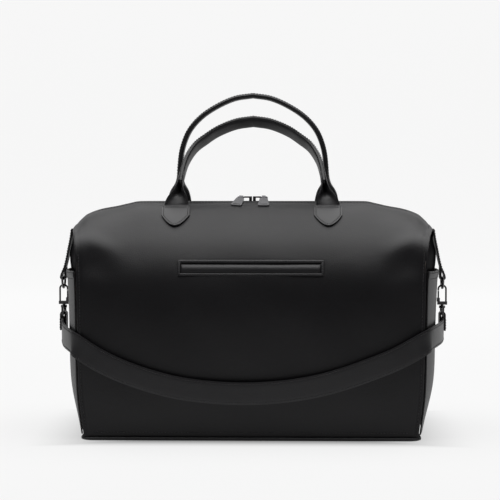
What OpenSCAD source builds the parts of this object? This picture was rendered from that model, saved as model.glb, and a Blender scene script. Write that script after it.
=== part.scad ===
// Soft weekender bag: zipped body, two leaning carry handles, front welt pocket,
// open side pockets, end tabs with D-rings and a clip-on shoulder strap.
// X to the right, Y away from the front, Z up. Millimetres. Origin under the middle of the base.

/* [Body] */
// Height of the zip line above the floor
body_h = 310; // [300:1:320]
// Half depth of the body at its widest
half_depth = 118; // [110:1:124]
// Half width of the front panel at mid height
half_width = 226; // [214:1:232]
// Thickness of the front and back panels
panel_t = 3; // [2:0.5:3.5]
// Extra swell of the front and back panels in the middle
belly = 4; // [0:0.5:6]

/* [Handles] */
// Height of each handle arch above its pads
handle_h = 146; // [120:1:160]
// Half distance between the two ends of a handle
handle_x = 102; // [96:1:106]
// Lean of the front handle towards the back, degrees
front_lean = 40; // [30:1:41]

/* [Shoulder strap] */
// Width of the strap
strap_w = 29; // [24:1:30]
// Thickness of the strap
strap_t = 3.2; // [2.5:0.1:3.4]

/* [Hardware] */
// Wire radius of the D-rings
ring_r = 1.5; // [1.2:0.1:1.6]
// Wire radius of the hooks
hook_r = 1.2; // [1:0.1:1.3]

/* [Hidden] */
e = 0.001;
gap = 0.3;
ring_x = 259;      // D-ring plane
ring_z = 206.5;    // D-ring bar height
ring_R = 15;       // D-ring bow radius
piv_y = -33.3;     // front handle pivot line
piv_z = 309;
base_t = 4;

function crv(a,b,c,d,t) = 0.5*(2*b+(c-a)*t+(2*a-5*b+4*c-d)*t*t+(3*b-a-3*c+d)*t*t*t);
function cr(P,t) = let(n=len(P)-1, k=max(0,min(floor(t*n),n-1)), f=t*n-k)
  crv(k==0 ? 2*P[0]-P[1] : P[k-1], P[k], P[k+1], k+2>n ? 2*P[n]-P[n-1] : P[k+2], f);
function unit(v) = v/norm(v);

// front profile at the middle and at the ends, [y, z], bottom to zip edge
dY = half_depth-118;
dZ = body_h-310;
dW = half_width-226;
CM = [[-112-dY,4.3],[-117-dY,62],[-118-dY,120],[-116-dY,172],[-107-dY,216],[-88-dY,251+dZ],[-62,279+dZ],[-34,301+dZ],[-8,310.5+dZ]];
CE = [[-111-dY,4.3],[-113-dY,58],[-114-dY,115],[-114-dY,166],[-113-dY,208],[-108-dY,240+dZ/2],[-84,261+dZ/2],[-44,270.5+dZ/2],[-8,273+dZ/2]];
WL = [218+dW,224+dW,225.5+dW,226+dW,227+dW,229+dW,234+dW,240+dW,244+dW];
BL = [[0,0],[0.63,0],[0.69,0.08],[0.75,0.17],[0.84,0.28],[0.92,0.47],[0.955,0.66],[0.985,0.87],[1,1]];
function wt(t) = cr(WL,t);
function s2(u,t) = let(b=lookup(abs(u),BL)) cr(CM,t)*(1-b)+cr(CE,t)*b+[-belly*(1-u*u)*sin(min(180,220*t)),0];
function n2(u,t) = let(d=s2(u,min(1,t+0.01))-s2(u,max(0,t-0.01))) [d.y,-d.x]/norm(d);
function pf(u,t,d) = let(s=s2(u,t), n=n2(u,t)) [u*wt(t), s.x+d*n.x, s.y+d*n.y];
function crest(x) = let(u=min(1,abs(x)/wt(1))) s2(u,1).y;
// parameter of the point at height z on the front profile
function tz(z,a=0,b=1,k=0) = k>18 ? (a+b)/2 : let(m=(a+b)/2) s2(0,m).y>z ? tz(z,a,m,k+1) : tz(z,m,b,k+1);
function px(x,t,d) = pf(x/wt(t),t,d);
// end panels: edges follow the end profile just inside the panels
function ge(t) = let(s=cr(CE,t), d=cr(CE,min(1,t+0.01))-cr(CE,max(0,t-0.01)), n=[d.y,-d.x]/norm(d)) s+(panel_t+gap)*n;
GB = [4,9,8.5,6,0,-11,-16,-14,-4];      // swell of the end panel, tucked in at the top
GR = [0,0,0,2,12,25,27,19,3];           // ridge of the end panel under the ring tab
PB = [9,18,20,21,21.5];                 // swell of the side pocket, bottom to its open edge
function gs(s,t,dx) = let(g=ge(t), r=max(0,1-pow(s/0.45,2))) [wt(t)+cr(GB,t)*(1-s*s)+cr(GR,t)*r*r-dx, (abs(g.x)-0.25)*s, g.y-0.05];
function us(i,n) = let(v=2*i/n-1) sign(v)*(1-pow(1-abs(v),1.35));

module slab(A,B,n,m,flip=false) {
  N = (n+1)*(m+1);
  f = concat(
    [for(i=[0:n-1],j=[0:m-1]) each let(a=i*(m+1)+j,b=a+m+1) [[a,b,b+1],[a,b+1,a+1]]],
    [for(i=[0:n-1],j=[0:m-1]) each let(a=N+i*(m+1)+j,b=a+m+1) [[a,b+1,b],[a,a+1,b+1]]],
    [for(i=[0:n-1]) each let(a=i*(m+1),b=a+m+1) [[a,a+N,b+N],[a,b+N,b]]],
    [for(i=[0:n-1]) each let(a=i*(m+1)+m,b=a+m+1) [[a,b+N,a+N],[a,b,b+N]]],
    [for(j=[0:m-1]) each let(a=j) [[a,a+1,a+1+N],[a,a+1+N,a+N]]],
    [for(j=[0:m-1]) each let(a=n*(m+1)+j) [[a,a+1+N,a+1],[a,a+N,a+1+N]]]);
  polyhedron(concat(A,B), flip ? [for(q=f) [q[0],q[2],q[1]]] : f);
}
module panel(d0,d1,t0,t1,n=26,m=18,k=1) {
  slab([for(i=[0:n],j=[0:m]) pf(k*us(i,n),t0+(t1-t0)*j/m,d0)],
       [for(i=[0:n],j=[0:m]) pf(k*us(i,n),t0+(t1-t0)*j/m,d1)], n, m);
}
// a patch that follows the front panel: x range, t range, offsets
module patch(x0,x1,t0,t1,d0,d1,n=16,m=4) {
  slab([for(i=[0:n],j=[0:m]) px(x0+(x1-x0)*i/n,t0+(t1-t0)*j/m,d0)],
       [for(i=[0:n],j=[0:m]) px(x0+(x1-x0)*i/n,t0+(t1-t0)*j/m,d1)], n, m);
}

// ---- body ----
wz0 = 217.5; wz1 = 231.5; wx = 92;
module front_panel() color("#3a393c") difference() {
  panel(0,panel_t,0,1);
  translate([-wx,-140,wz0]) cube([2*wx,60,wz1-wz0]);
}
module back_panel() color("#3a393c") mirror([0,1,0]) panel(0,panel_t,0,1);
module base_outline(o=0) {
  a=24;
  polygon([for(q=[0:3], k=[0:a]) let(
      t=k/a*90, c=cos(t), s=sin(t), sx=q==0||q==3?1:-1, sy=q<2?1:-1,
      cc=(q%2==0)?c:s, sn=(q%2==0)?s:c,
      rx=204+dW+16*pow(cc,1), ry=97+dY+16*sn)
      [sx*(rx+o), sy*(ry+o)]]);
}
module base_panel() color("#302f32") linear_extrude(base_t) base_outline(0);
module base_board() color("#6b5b45") translate([0,0,base_t]) linear_extrude(2.5) base_outline(-11);
module gusset(sg) color("#343336") mirror([sg<0?1:0,0,0])
  slab([for(i=[0:16],j=[0:18]) gs(2*i/16-1,j/18*0.985,0)],
       [for(i=[0:16],j=[0:18]) gs(2*i/16-1,j/18*0.985,2)], 16, 18);
pk_t = 0.538;
function ps(s,v,dx) = let(t=0.006+pk_t*v, g=ge(t)) [wt(t)+0.4+cr(PB,v)*(1-s*s)-dx+0.5, (abs(g.x)-1)*s, g.y-7*v*(1-s*s)*(1-s*s)*0];
module side_pocket(sg) color("#38373a") mirror([sg<0?1:0,0,0])
  slab([for(i=[0:16],j=[0:10]) ps(2*i/16-1,j/10,-2.2)],
       [for(i=[0:16],j=[0:10]) ps(2*i/16-1,j/10,-0.2)], 16, 10);
module lining_front() color("#5a4a3c") panel(7.6,8.6,0.02,0.95,20,14,0.955);
module lining_back() color("#5a4a3c") mirror([0,1,0]) panel(7.6,8.6,0.02,0.95,20,14,0.955);
module lining_end(sg) color("#5a4a3c") mirror([sg<0?1:0,0,0])
  slab([for(i=[0:14],j=[0:12]) gs(0.9*(2*i/14-1),0.03+j/12*0.72,2.8)],
       [for(i=[0:14],j=[0:12]) gs(0.9*(2*i/14-1),0.03+j/12*0.72,3.7)], 14, 12);

// ---- front welt pocket ----
module front_pocket_frame() color("#2e2d30") difference() {
  patch(-95,95,tz(214.2),tz(234.6),-1.5,-0.25,16,6);
  translate([-91.5,-140,218]) cube([183,60,13]);
}
module front_pocket_lip() color("#454447") patch(-91.1,91.1,tz(218.7),tz(230.3),-1.1,1.6,16,6);
module front_pocket_pouch() color("#4c4036") patch(-98,98,tz(105),tz(236),3.4,5.6,12,10);

// ---- zip ----
zn = 44; zx = 230;
function zp(i) = let(v=2*i/zn-1) v*zx;
module zstrip(y0,y1,h0,h1) slab(
   [for(i=[0:zn],j=[0:1]) let(x=zp(i)) [x, y0+(y1-y0)*j, crest(x)+h1]],
   [for(i=[0:zn],j=[0:1]) let(x=zp(i)) [x, y0+(y1-y0)*j, crest(x)+h0]], zn, 1);
module zip_tape_front() color("#1d1c1e") zstrip(-10,-0.8,-4.8,-4.1);
module zip_tape_back() color("#1d1c1e") zstrip(0.8,10,-4.8,-4.1);
module zip_teeth_front() color("#8d8f93") zstrip(-3.6,-0.8,-4,-2.1);
module zip_teeth_back() color("#8d8f93") zstrip(0.8,3.6,-4,-2.1);
module zip_end_stops() color("#8d8f93") for(s=[-1,1]) translate([s*208,0,crest(208)-0.8]) rotate([0,s*24,0]) cube([3.5,9,1.4],center=true);

// slider with its open end towards the middle, crest height zt
zt = 310.5+dZ;
module slider(sg) color("#9a9ca1") mirror([sg<0?1:0,0,0]) {
  // top plate
  translate([0.4,-5.2,zt-1.55]) cube([20.6,10.4,1.6]);
  translate([0.4,0,zt-1.55]) intersection() { translate([0,-6.4,0]) cube([9,12.8,1.6]); translate([9,0,0]) cylinder(r=10.7,h=1.6,$fn=48); }
  // lower plate
  translate([0.4,-4.6,zt-6.9]) cube([20.6,9.2,1.6]);
  // web between the two rows
  translate([2.4,-0.5,zt-5.4]) cube([8,1,4]);
  // bridge: nose post, raised strap over the hole, round bar for the puller, sloped outer post
  translate([0.6,-1.8,zt-0.1]) cube([4,3.6,6.3]);
  translate([0.6,-1.8,pb_z-0.9]) cube([11,3.6,2.1]);
  translate([11,0,pb_z]) rotate([0,90,0]) cylinder(r=0.8,h=8.4,$fn=32);
  hull() { translate([19,-1.8,zt-0.1]) cube([2,3.6,4.4]); translate([19,-1.8,zt-0.1]) cube([0.8,3.6,6.2]); }
}
pb_z = zt+5;        // puller bar line
pb_x = 15.4;
module puller(sg) color("#a5a7ab") mirror([sg<0?1:0,0,0]) translate([pb_x,0,pb_z]) rotate([20,0,0]) rotate([0,0,sg<0?11:0])
  difference() {
    union() {
      rotate([0,90,0]) cylinder(r=2.4,h=5.2,center=true,$fn=40);
      translate([-2.6,-6,-1]) cube([5.2,5,2]);
      translate([0,0,-1.1]) linear_extrude(2.2)
        polygon([[-4.6,-4.4],[4.6,-4.4],[5.4,-6],[7.5,-31],[6.5,-32.6],[-6.5,-32.6],[-7.5,-31],[-5.4,-6]]);
    }
    rotate([0,90,0]) cylinder(r=1.5,h=7,center=true,$fn=32);
    translate([-5.2,-30,-3]) cube([10.4,1.7,6]);
  }

// ---- end tabs ----
function arcp(k) = let(a=-180*k/8) [ring_x+3.05*cos(a), ring_z+3.05*sin(a)];
TP = concat([[246,272.6],[246.6,268],[248.4,257],[251,245],[253.8,231],[257.2,218.5],[261,211]],
  [for(k=[0:8]) arcp(k)], [[255.9,214],[256.1,222]]);
function pn(i) = let(a=TP[max(0,i-1)], b=TP[min(len(TP)-1,i+1)], d=unit(b-a)) [-d.y,d.x];
function w(i) = i<1 ? 13 : i>6 ? 10.5 : 13-2.5*(i-1)/5;
module tab(sg) color("#3c3b3e") mirror([sg<0?1:0,0,0]) {
  n=len(TP)-1;
  slab([for(i=[0:n],j=[0:1]) let(q=TP[i]+1.25*pn(i)) [q.x,(2*j-1)*w(i),q.y]],
       [for(i=[0:n],j=[0:1]) let(q=TP[i]-1.25*pn(i)) [q.x,(2*j-1)*w(i),q.y]], n, 1);
}
module ring(sg) color("#b4b6ba") mirror([sg<0?1:0,0,0]) translate([ring_x,0,ring_z]) {
  rotate([90,0,0]) cylinder(r=ring_r,h=2*ring_R,center=true,$fn=32);
  for(s=[-1,1]) translate([0,s*ring_R,0]) sphere(r=ring_r,$fn=32);
  rotate([90,0,90]) rotate([0,0,180]) rotate_extrude(angle=180,$fn=64) translate([ring_R,0]) circle(r=ring_r,$fn=32);
}

// ---- hooks ----
hk_z = 190.2;   // centre of the top bend
hk_w = 5.2;     // half spacing of the two legs
// fixed leg outwards, gate inwards
module hook(sg) color("#b4b6ba") mirror([sg<0?1:0,0,0]) translate([ring_x,0,0]) {
  translate([0,0,hk_z]) rotate([90,0,0]) rotate_extrude(angle=180,$fn=64) translate([hk_w,0]) circle(r=hook_r,$fn=32);
  translate([hk_w,0,173]) cylinder(r=hook_r,h=hk_z-173,$fn=32);
  translate([-hk_w,0,188.4]) cylinder(r=hook_r,h=hk_z-188.4,$fn=32);
  // base block with two ears for the gate pin
  translate([-6.6,-3.1,169]) cube([13.2,6.2,4.4]);
  for(s=[-1,1]) translate([-hk_w-1.9,s*2.5-0.6,173.3]) cube([3.8,1.2,4.9]);
  // swivel post with a wide head
  translate([0,0,162.6]) cylinder(r=2,h=6.5,$fn=32);
  translate([0,0,161.4]) cylinder(r=3.1,h=1.3,$fn=32);
}
module hook_pin(sg) color("#8e9095") mirror([sg<0?1:0,0,0]) translate([ring_x-hk_w,0,176]) rotate([90,0,0]) cylinder(r=0.6,h=3.7,center=true,$fn=24);
module gate(sg) color("#b4b6ba") mirror([sg<0?1:0,0,0]) translate([ring_x-hk_w,0,0]) difference() {
  union() {
    translate([0,0,176]) rotate([90,0,0]) cylinder(r=1.6,h=3.2,center=true,$fn=32);
    translate([0,0,176]) cylinder(r=1.1,h=11.9,$fn=32);
  }
  translate([0,0,176]) rotate([90,0,0]) cylinder(r=0.85,h=5,center=true,$fn=24);
}
// strap-side eye: collar round the post and a flat loop for the strap end
module swivel_eye(sg) color("#b4b6ba") mirror([sg<0?1:0,0,0]) translate([ring_x,0,0]) {
  difference() { translate([0,0,164.3]) cylinder(r=4.2,h=3.4,$fn=40); cylinder(r=2.35,h=400,$fn=32); }
  for(s=[-1,1]) {
    translate([-1.5,s*8-5.4,164.6]) cube([3,10.8,2.8]);
    translate([-1.5,s*13.4-1.4,154.2]) cube([3,2.8,13.2]);
  }
  translate([0,0,155.8]) rotate([90,0,0]) cylinder(r=1.5,h=28.2,center=true,$fn=32);
}
module strap_end(sg) color("#3c3b3e") mirror([sg<0?1:0,0,0]) translate([ring_x,0,155.8]) {
  difference() {
    union() {
      rotate([90,0,0]) cylinder(r=4.4,h=23,center=true,$fn=40);
      for(s=[-1,1]) translate([s>0?1.95:-4.4,-11.5,-22]) cube([2.45,23,22]);
    }
    rotate([90,0,0]) cylinder(r=1.95,h=30,center=true,$fn=40);
    translate([-1.95,-15,-30]) cube([3.9,30,30]);
  }
}

// ---- shoulder strap: x, y, z and facing angle along its middle line ----
SP = [
 [-259,0.5,151,180],[-259,-1.5,143.5,180],[-259,-7.5,136.6,180],[-258,-17,133,182],[-255,-34,131.6,190],[-251.5,-52,131,194],[-247,-70,130.4,198],
 [-241.5,-88,129.6,202],[-236,-103,128.6,208],[-230,-114.5,126.4,232],[-220,-121,120,258],[-205,-123.4,110.6,268],[-185,-125,100,270],[-160,-126,89.4,270],
 [-130,-127,79.4,270],[-94,-128,70.6,270],[-57,-128,65.6,270],[-20,-128,63.4,270],[16,-128,64,270],[52,-128,67.4,270],[88,-127.6,73.8,270],
 [125,-127,84.2,270],[160,-126,96.8,270],[184,-125,106.4,270],[204,-123.4,116.4,272],[220,-121,125.4,282],[230,-114.5,130.6,308],
 [236,-103,133,332],[241.5,-88,134,338],[247,-70,134.6,342],[251.5,-52,134.8,346],[255,-34,134.8,350],[258,-17,135.4,358],[259,-7.5,138,360],[259,-1.5,144,360],[259,0.5,151,360]];
sn = 108;
function sq(i) = cr(SP,i/sn);
function sf(i) = let(p=sq(i), a=sq(max(0,i-0.5)), b=sq(min(sn,i+0.5)),
   T=unit([b.x-a.x,b.y-a.y,b.z-a.z]), N0=[cos(p[3]),sin(p[3]),0], W=unit(cross(N0,T)), N=cross(T,W)) [[p.x,p.y,p.z],N,W];
module shoulder_strap() color("#403f42")
  slab([for(i=[0:sn],j=[0:1]) let(f=sf(i)) f[0]+f[1]*strap_t/2+f[2]*(2*j-1)*strap_w/2],
       [for(i=[0:sn],j=[0:1]) let(f=sf(i)) f[0]-f[1]*strap_t/2+f[2]*(2*j-1)*strap_w/2], sn, 1, true);

// ---- carry handles ----
k_h = handle_h/146;
HB = [[handle_x,0],[handle_x,12*k_h],[handle_x-0.5,28*k_h],[handle_x-1.5,50*k_h],[handle_x-5,74*k_h],[handle_x-14,97*k_h],[handle_x-30,116*k_h],[handle_x-52,131*k_h],[handle_x-77,142*k_h],[0,146*k_h]];
HF = [[handle_x,0],[handle_x-2.5,14*k_h],[handle_x-4.5,30*k_h],[handle_x-7.5,54*k_h],[handle_x-12.5,76*k_h],[handle_x-23,98*k_h],[handle_x-37,113*k_h],[handle_x-54,128*k_h],[handle_x-78,141*k_h],[0,146*k_h]];
hn = 22;
function hp(H,i) = i<=hn ? let(p=cr(H,i/hn)) [-p.x,p.y] : let(p=cr(H,(2*hn-i)/hn)) p;
// half width (across the arch plane) and half thickness of the grip
function hw(i) = let(k=min(i,2*hn-i)) k<2 ? 3.4+0.3*k : k<8 ? 4+(k-2)*1.05 : 10.3;
function ht(i) = let(k=min(i,2*hn-i)) k<2 ? 3.4 : 3.3;
SEC = [for(a=[0:30:330]) [sign(cos(a))*pow(abs(cos(a)),0.6), sign(sin(a))*pow(abs(sin(a)),0.6)]];
function hring(H,i,o) = let(a=hp(H,max(0,i-1)), b=hp(H,min(2*hn,i+1)), d=unit(b-a), n=[-d.y,d.x], p=hp(H,i))
  [for(s=SEC) let(q=p+n*(s.y*(ht(i)-o))) [q.x, s.x*(hw(i)-o), q.y]];
module htube(H,o0,o1,i0,i1) {
  K=len(SEC); M=i1-i0;
  P=concat([for(i=[i0:i1]) each hring(H,i,o0)],[for(i=[i0:i1]) each hring(H,i,o1)]);
  N=(M+1)*K;
  polyhedron(P, concat(
   [for(i=[0:M-1],k=[0:K-1]) each let(k2=(k+1)%K,a=i*K+k,b=i*K+k2,c=a+K,d=b+K) [[a,b,d],[a,d,c]]],
   [for(i=[0:M-1],k=[0:K-1]) each let(k2=(k+1)%K,a=N+i*K+k,b=N+i*K+k2,c=a+K,d=b+K) [[a,d,b],[a,c,d]]],
   [for(k=[0:K-1]) each let(k2=(k+1)%K) [[k,k+N,k2+N],[k,k2+N,k2]]],
   [for(k=[0:K-1]) each let(k2=(k+1)%K,c=M*K) [[c+k,c+k2+N,c+k+N],[c+k,c+k2,c+k2+N]]]));
}
module hsolid(H,o,i0,i1) {
  K=len(SEC); M=i1-i0;
  polyhedron([for(i=[i0:i1]) each hring(H,i,o)], concat(
   [for(i=[0:M-1],k=[0:K-1]) each let(k2=(k+1)%K,a=i*K+k,b=i*K+k2,c=a+K,d=b+K) [[a,b,d],[a,d,c]]],
   [for(k=[1:K-2]) [0,k+1,k]], [for(k=[1:K-2]) [M*K,M*K+k,M*K+k+1]]));
}
module front_place() translate([0,piv_y,piv_z+dZ]) rotate([-front_lean,0,0]) children();
module back_place() translate([0,-piv_y,piv_z+dZ]) children();
module front_handle() color("#3d3c3f") front_place() htube(HF,0,1.7,0,2*hn);
module back_handle() color("#3d3c3f") back_place() htube(HB,0,1.7,0,2*hn);
module front_handle_core() color("#8a7a5c") front_place() hsolid(HF,1.95,6,2*hn-6);
module back_handle_core() color("#8a7a5c") back_place() hsolid(HB,1.95,6,2*hn-6);
// stitched pads, pointed at the lower end, following the panel
pt0 = tz(277.5+dZ); pt1 = tz(301.8+dZ);
function pw(v) = 18.6*pow(max(0.02,min(1,v/0.5)),0.62);
module pads() for(s=[-1,1])
  slab([for(i=[0:8],j=[0:10]) px(s*handle_x+pw(j/10)*(2*i/8-1), pt0+(pt1-pt0)*j/10, -2.3)],
       [for(i=[0:8],j=[0:10]) px(s*handle_x+pw(j/10)*(2*i/8-1), pt0+(pt1-pt0)*j/10, -0.3)], 8, 10);
module front_handle_pads() color("#424144") pads();
module back_handle_pads() color("#424144") mirror([0,1,0]) pads();

front_panel();
back_panel();
base_panel();
base_board();
gusset(-1);  // left_end_panel
gusset(1);  // right_end_panel
side_pocket(-1);  // left_side_pocket
side_pocket(1);  // right_side_pocket
lining_front();
lining_back();
lining_end(-1);  // lining_left_end
lining_end(1);  // lining_right_end
front_pocket_frame();
front_pocket_lip();
front_pocket_pouch();
zip_tape_front();
zip_tape_back();
zip_teeth_front();
zip_teeth_back();
zip_end_stops();
slider(-1);  // zip_slider_left
slider(1);  // zip_slider_right
puller(-1);  // zip_puller_left
puller(1);  // zip_puller_right
tab(-1);  // left_ring_tab
tab(1);  // right_ring_tab
ring(-1);  // left_d_ring
ring(1);  // right_d_ring
hook(-1);  // left_hook
hook(1);  // right_hook
hook_pin(-1);  // left_gate_pin
hook_pin(1);  // right_gate_pin
gate(-1);  // left_gate
gate(1);  // right_gate
swivel_eye(-1);  // left_swivel_eye
swivel_eye(1);  // right_swivel_eye
strap_end(-1);  // left_strap_end
strap_end(1);  // right_strap_end
shoulder_strap();
front_handle();
back_handle();
front_handle_core();
back_handle_core();
front_handle_pads();
back_handle_pads();
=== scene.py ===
import bpy, math
import numpy as np
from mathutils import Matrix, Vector


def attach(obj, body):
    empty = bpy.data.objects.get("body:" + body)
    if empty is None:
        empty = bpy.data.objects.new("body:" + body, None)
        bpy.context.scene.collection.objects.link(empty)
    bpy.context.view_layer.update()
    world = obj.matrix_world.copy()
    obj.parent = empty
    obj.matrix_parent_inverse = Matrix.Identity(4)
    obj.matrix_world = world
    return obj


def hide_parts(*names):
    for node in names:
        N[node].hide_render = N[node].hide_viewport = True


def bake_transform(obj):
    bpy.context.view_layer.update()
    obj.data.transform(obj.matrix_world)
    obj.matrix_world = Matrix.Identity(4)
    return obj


D = bpy.data
sc = bpy.context.scene
MM = 0.001

# ------------------------------------------------------------------ camera first
cam = D.cameras.new("cam")
cam.lens = 110.7
cam.sensor_width = 36.0
cam.clip_start = 0.05
cam.clip_end = 60
co = D.objects.new("camera", cam)
sc.collection.objects.link(co)
co.location = (0.044, -2.1, 0.335)
co.rotation_euler = (math.radians(87.5), 0, math.radians(1.293))
sc.camera = co

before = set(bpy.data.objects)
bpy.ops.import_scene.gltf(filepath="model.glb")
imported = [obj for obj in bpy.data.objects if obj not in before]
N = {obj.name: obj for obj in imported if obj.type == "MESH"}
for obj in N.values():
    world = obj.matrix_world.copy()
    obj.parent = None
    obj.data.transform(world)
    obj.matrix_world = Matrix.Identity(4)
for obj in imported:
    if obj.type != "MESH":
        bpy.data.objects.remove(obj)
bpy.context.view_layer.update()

# ------------------------------------------------------------------ shape functions (millimetres, same as the CAD)
def crv(a, b, c, d, t):
    return 0.5 * (2 * b + (c - a) * t + (2 * a - 5 * b + 4 * c - d) * t * t + (3 * b - a - 3 * c + d) * t ** 3)

def cr(P, t):
    n = len(P) - 1
    k = max(0, min(int(math.floor(t * n)), n - 1))
    f = t * n - k
    a = 2 * P[0] - P[1] if k == 0 else P[k - 1]
    d = 2 * P[n] - P[n - 1] if k + 2 > n else P[k + 2]
    return crv(a, P[k], P[k + 1], d, f)

CM = np.array([[-112, 4.3], [-117, 62], [-118, 120], [-116, 172], [-107, 216], [-88, 251], [-62, 279], [-34, 301], [-8, 310.5]], float)
CE = np.array([[-111, 4.3], [-113, 58], [-114, 115], [-114, 166], [-113, 208], [-108, 240], [-84, 261], [-44, 270.5], [-8, 273]], float)
WL = np.array([218, 224, 225.5, 226, 227, 229, 234, 240, 244], float)
BLX = [0, 0.55, 0.63, 0.69, 0.75, 0.84, 0.92, 0.955, 0.985, 1.0]
BLY = [0, 0, 0.005, 0.08, 0.17, 0.28, 0.47, 0.66, 0.87, 1.0]

def smooth_tab(X, Y):
    # monotone cubic through the table
    X = np.array(X, float); Y = np.array(Y, float)
    h = np.diff(X); d = np.diff(Y) / h
    m = np.zeros(len(X)); m[0] = d[0]; m[-1] = d[-1]
    for i in range(1, len(X) - 1):
        m[i] = 0 if d[i - 1] * d[i] <= 0 else 2 * d[i - 1] * d[i] / (d[i - 1] + d[i])
    def f(x):
        x = min(max(abs(x), X[0]), X[-1])
        i = min(int(np.searchsorted(X, x, side="right")) - 1, len(h) - 1)
        t = (x - X[i]) / h[i]
        return ((2 * t ** 3 - 3 * t * t + 1) * Y[i] + (t ** 3 - 2 * t * t + t) * h[i] * m[i]
                + (-2 * t ** 3 + 3 * t * t) * Y[i + 1] + (t ** 3 - t * t) * h[i] * m[i + 1])
    return f

BL = smooth_tab(BLX, BLY)
wt = lambda t: cr(WL, t)

def s2(u, t):
    b = BL(u)
    s = cr(CM, t) * (1 - b) + cr(CE, t) * b
    return s + np.array([-4 * (1 - u * u) * math.sin(math.radians(min(180, 220 * t))), 0])

def n2(u, t):
    d = s2(u, min(1, t + 0.01)) - s2(u, max(0, t - 0.01))
    return np.array([d[1], -d[0]]) / np.hypot(*d)

def pf(u, t, d=0.0):
    s = s2(u, t) + d * n2(u, t)
    return np.array([u * wt(t), s[0], s[1]])

def px(x, t, d=0.0):
    return pf(x / wt(t), t, d)

def crest(x):
    return s2(min(1, abs(x) / wt(1)), 1)[1]

def tz(z, u=0.0):
    a, b = 0.0, 1.0
    for _ in range(24):
        m = (a + b) / 2
        if s2(u, m)[1] > z: b = m
        else: a = m
    return (a + b) / 2

def ge(t):
    s = cr(CE, t); d = cr(CE, min(1, t + 0.01)) - cr(CE, max(0, t - 0.01))
    return s + 3.3 * np.array([d[1], -d[0]]) / np.hypot(*d)

GB = np.array([4, 9, 8.5, 6, 0, -11, -16, -14, -4], float)
GR = np.array([0, 0, 0, 2, 19.5, 31.5, 26.6, 19, 3], float)
PB = np.array([9, 18, 20, 21, 21.5], float)

def unit(v):
    v = np.asarray(v, float)
    return v / max(1e-12, np.linalg.norm(v))

# ------------------------------------------------------------------ mesh helpers
def obj_from(name, V, F, mats, smooth=True, mi=None):
    me = D.meshes.new(name)
    me.from_pydata([tuple(map(float, v)) for v in (np.asarray(V) * MM)], [], [tuple(int(i) for i in f) for f in F])
    me.update()
    o = D.objects.new(name, me)
    sc.collection.objects.link(o)
    for m in (mats if isinstance(mats, (list, tuple)) else [mats]):
        me.materials.append(m)
    if mi is not None:
        me.polygons.foreach_set("material_index", [int(i) for i in mi])
    if smooth:
        me.polygons.foreach_set("use_smooth", [True] * len(me.polygons))
    return o

def fix_normals(o):
    import bmesh
    bm = bmesh.new(); bm.from_mesh(o.data)
    bmesh.ops.recalc_face_normals(bm, faces=bm.faces)
    bm.to_mesh(o.data); bm.free()

def slab(name, A, B, mats, bevel=1.0, seg=2, inner_mat=False):
    # A, B: (n+1, m+1, 3) arrays, the two faces of a closed sheet
    n, m = A.shape[0] - 1, A.shape[1] - 1
    V = np.concatenate([A.reshape(-1, 3), B.reshape(-1, 3)])
    K = (n + 1) * (m + 1)
    ix = lambda i, j: i * (m + 1) + j
    F, MI = [], []
    for i in range(n):
        for j in range(m):
            F.append((ix(i, j), ix(i + 1, j), ix(i + 1, j + 1), ix(i, j + 1))); MI.append(0)
            F.append((K + ix(i, j), K + ix(i, j + 1), K + ix(i + 1, j + 1), K + ix(i + 1, j))); MI.append(1 if inner_mat else 0)
    for i in range(n):
        F.append((ix(i, 0), K + ix(i, 0), K + ix(i + 1, 0), ix(i + 1, 0))); MI.append(0)
        F.append((ix(i, m), ix(i + 1, m), K + ix(i + 1, m), K + ix(i, m))); MI.append(0)
    for j in range(m):
        F.append((ix(0, j), ix(0, j + 1), K + ix(0, j + 1), K + ix(0, j))); MI.append(0)
        F.append((ix(n, j), K + ix(n, j), K + ix(n, j + 1), ix(n, j + 1))); MI.append(0)
    o = obj_from(name, V, F, mats, mi=MI)
    fix_normals(o)
    if bevel:
        b = o.modifiers.new("round", "BEVEL")
        b.width = bevel * MM; b.segments = seg; b.limit_method = "ANGLE"; b.angle_limit = math.radians(50)
        b.harden_normals = False
    return o

def loft(name, rings, mats, closed_ends=True):
    # rings: list of (k, 3) arrays
    K = len(rings[0]); M = len(rings)
    V = np.concatenate(rings)
    F = [(i * K + k, i * K + (k + 1) % K, (i + 1) * K + (k + 1) % K, (i + 1) * K + k) for i in range(M - 1) for k in range(K)]
    if closed_ends:
        F += [tuple(range(K))[::-1], tuple((M - 1) * K + k for k in range(K))]
    o = obj_from(name, V, F, mats)
    fix_normals(o)
    return o

def resample(P, Nn, step):
    P = np.asarray(P, float); Nn = np.asarray(Nn, float)
    L = np.concatenate([[0], np.cumsum(np.linalg.norm(np.diff(P, axis=0), axis=1))])
    k = max(1, int(round(L[-1] / step)))
    s = (np.arange(k) + 0.5) * L[-1] / k
    Q = np.stack([np.interp(s, L, P[:, i]) for i in range(3)], 1)
    Q2 = np.stack([np.interp(np.minimum(s + 0.5, L[-1]), L, P[:, i]) for i in range(3)], 1)
    Q1 = np.stack([np.interp(np.maximum(s - 0.5, 0), L, P[:, i]) for i in range(3)], 1)
    M = np.stack([np.interp(s, L, Nn[:, i]) for i in range(3)], 1)
    return Q, Q2 - Q1, M

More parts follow.
